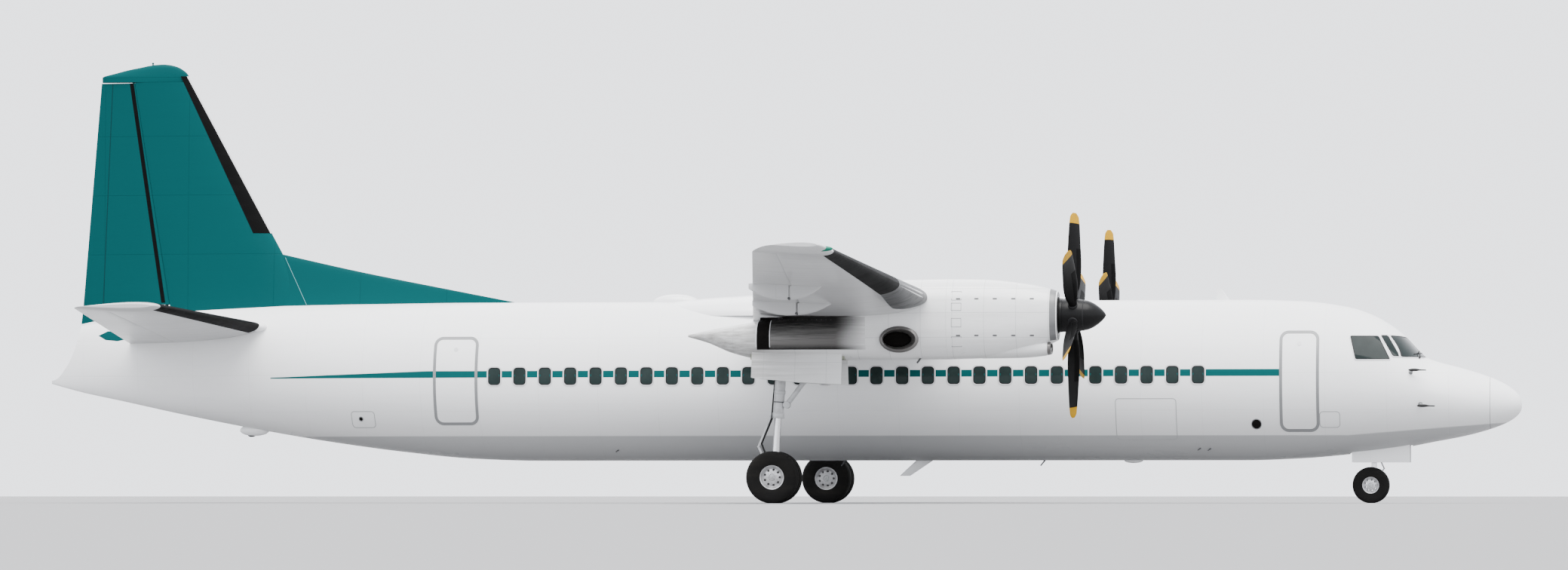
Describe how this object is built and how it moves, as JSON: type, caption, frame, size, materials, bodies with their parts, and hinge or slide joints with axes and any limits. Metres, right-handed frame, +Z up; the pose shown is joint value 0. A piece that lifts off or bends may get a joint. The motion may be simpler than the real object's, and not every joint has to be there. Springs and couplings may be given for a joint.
{
  "type": "twin turboprop airliner",
  "caption": "High-wing turboprop airliner parked on its gear, with turning propellers and wheels, steering, control surfaces, flaps and an airstair door.",
  "frame": {"origin": "on the ground, under the middle of the overall length, width between the wing tips centred", "axes": "+X towards the nose, +Y to port, +Z up"},
  "size_m": [25.25, 29, 7.57],
  "materials": {
    "white_paint": "gloss",
    "teal_paint": "gloss",
    "wing_paint": "satin",
    "radome_paint": "gloss",
    "cockpit_glass": "gloss",
    "black_blade": "satin",
    "spinner_paint": "gloss",
    "sooty_steel": "satin",
    "gear_steel": "satin",
    "wheel_alloy": "satin",
    "tyre_rubber": "matte",
    "engine_cast": "matte"
  },
  "bodies": {
    "airframe": {"fuselage": "white_paint", "radome": "radome_paint", "cockpit_glazing": "cockpit_glass", "service_door": "white_paint", "aft_door_left": "white_paint", "aft_door_right": "white_paint", "fin": "teal_paint", "dorsal_fin": "teal_paint", "wing_center": "wing_paint", "nose_leg": "gear_steel", "tailplane_left": "white_paint", "nacelle_left": "white_paint", "cowling_left": "white_paint", "wing_outer_left": "wing_paint", "engine_left": "engine_cast", "exhaust_left": "sooty_steel", "main_leg_left": "gear_steel", "main_brace_left": "gear_steel", "main_door_inner_left": "white_paint", "main_door_outer_left": "white_paint", "nose_door_left": "white_paint", "tailplane_right": "white_paint", "nacelle_right": "white_paint", "cowling_right": "white_paint", "wing_outer_right": "wing_paint", "engine_right": "engine_cast", "exhaust_right": "sooty_steel", "main_leg_right": "gear_steel", "main_brace_right": "gear_steel", "main_door_inner_right": "white_paint", "main_door_outer_right": "white_paint", "nose_door_right": "white_paint"},
    "passenger_door": {"passenger_door": "white_paint"},
    "rudder": {"rudder": "teal_paint"},
    "nose_fork": {"nose_fork": "gear_steel"},
    "nose_wheels": {"nose_rims": "wheel_alloy", "nose_tyre_left": "tyre_rubber", "nose_tyre_right": "tyre_rubber"},
    "elevator_left": {"elevator_left": "white_paint"},
    "aileron_left": {"aileron_left": "wing_paint"},
    "flap_outboard_left": {"flap_outboard_left": "wing_paint"},
    "flap_inboard_left": {"flap_inboard_left": "wing_paint"},
    "propeller_left": {"propeller_left": "black_blade", "spinner_left": "spinner_paint"},
    "main_wheels_left": {"main_rims_left": "wheel_alloy", "main_tyre_inner_left": "tyre_rubber", "main_tyre_outer_left": "tyre_rubber"},
    "elevator_right": {"elevator_right": "white_paint"},
    "aileron_right": {"aileron_right": "wing_paint"},
    "flap_outboard_right": {"flap_outboard_right": "wing_paint"},
    "flap_inboard_right": {"flap_inboard_right": "wing_paint"},
    "propeller_right": {"propeller_right": "black_blade", "spinner_right": "spinner_paint"},
    "main_wheels_right": {"main_rims_right": "wheel_alloy", "main_tyre_inner_right": "tyre_rubber", "main_tyre_outer_right": "tyre_rubber"}
  },
  "joints": [
    {"name": "propeller_left_spin", "type": "hinge", "parent": "airframe", "child": "propeller_left", "pos_m": [5.4, 3.6, 3.08], "axis": [1, 0, 0], "continuous": true},
    {"name": "propeller_right_spin", "type": "hinge", "parent": "airframe", "child": "propeller_right", "pos_m": [5.4, -3.6, 3.08], "axis": [1, 0, 0], "continuous": true},
    {"name": "nose_steer", "type": "hinge", "parent": "airframe", "child": "nose_fork", "pos_m": [10.15, 0, 0.8], "axis": [0, 0, 1], "range_deg": [-73, 73]},
    {"name": "nose_wheels_roll", "type": "hinge", "parent": "nose_fork", "child": "nose_wheels", "pos_m": [10.1, 0, 0.3019], "axis": [0, 1, 0], "continuous": true},
    {"name": "main_wheels_left_roll", "type": "hinge", "parent": "airframe", "child": "main_wheels_left", "pos_m": [0.45, 3.6, 0.42562], "axis": [0, 1, 0], "continuous": true},
    {"name": "main_wheels_right_roll", "type": "hinge", "parent": "airframe", "child": "main_wheels_right", "pos_m": [0.45, -3.6, 0.42562], "axis": [0, 1, 0], "continuous": true},
    {"name": "passenger_door_hinge", "type": "hinge", "parent": "airframe", "child": "passenger_door", "pos_m": [8.89, 1.067, 1.21], "axis": [-1, 0, 0], "range_deg": [0, 125]},
    {"name": "rudder_hinge", "type": "hinge", "parent": "airframe", "child": "rudder", "pos_m": [-10.60156, 0, 3.42], "axis": [-0.154, 0, 0.9881], "range_deg": [-25, 25]},
    {"name": "elevator_left_hinge", "type": "hinge", "parent": "airframe", "child": "elevator_left", "pos_m": [-10.37461, 0.62, 2.85275], "axis": [0.0413, -0.9948, -0.093], "range_deg": [-25, 20]},
    {"name": "elevator_right_hinge", "type": "hinge", "parent": "airframe", "child": "elevator_right", "pos_m": [-10.37461, -0.62, 2.85275], "axis": [-0.0413, -0.9948, 0.093], "range_deg": [-25, 20]},
    {"name": "aileron_left_hinge", "type": "hinge", "parent": "airframe", "child": "aileron_left", "pos_m": [1.42968, 9.3, 3.51724], "axis": [-0.0874, -0.9947, -0.0542], "range_deg": [-20, 20]},
    {"name": "aileron_right_hinge", "type": "hinge", "parent": "airframe", "child": "aileron_right", "pos_m": [1.42968, -9.3, 3.51724], "axis": [0.0874, -0.9947, 0.0542], "range_deg": [-20, 20]},
    {"name": "flap_outboard_left_hinge", "type": "hinge", "parent": "airframe", "child": "flap_outboard_left", "pos_m": [1.15726, 6.2, 3.04844], "axis": [-0.0874, -0.9947, -0.0542], "range_deg": [0, 35]},
    {"name": "flap_outboard_right_hinge", "type": "hinge", "parent": "airframe", "child": "flap_outboard_right", "pos_m": [1.15726, -6.2, 3.04844], "axis": [0.0874, -0.9947, 0.0542], "range_deg": [0, 35]},
    {"name": "flap_inboard_left_hinge", "type": "hinge", "parent": "airframe", "child": "flap_inboard_left", "pos_m": [0.75301, 1.6, 2.85177], "axis": [-0.0875, -0.9962, 0.0024], "range_deg": [0, 35]},
    {"name": "flap_inboard_right_hinge", "type": "hinge", "parent": "airframe", "child": "flap_inboard_right", "pos_m": [0.75301, -1.6, 2.85177], "axis": [0.0875, -0.9962, -0.0024], "range_deg": [0, 35]}
  ],
  "couplings": [
    {"joint": "elevator_right_hinge", "follows": "elevator_left_hinge", "ratio": 1},
    {"joint": "aileron_right_hinge", "follows": "aileron_left_hinge", "ratio": -1},
    {"joint": "flap_outboard_right_hinge", "follows": "flap_outboard_left_hinge", "ratio": 1},
    {"joint": "flap_inboard_left_hinge", "follows": "flap_outboard_left_hinge", "ratio": 1},
    {"joint": "flap_inboard_right_hinge", "follows": "flap_outboard_left_hinge", "ratio": 1}
  ]
}
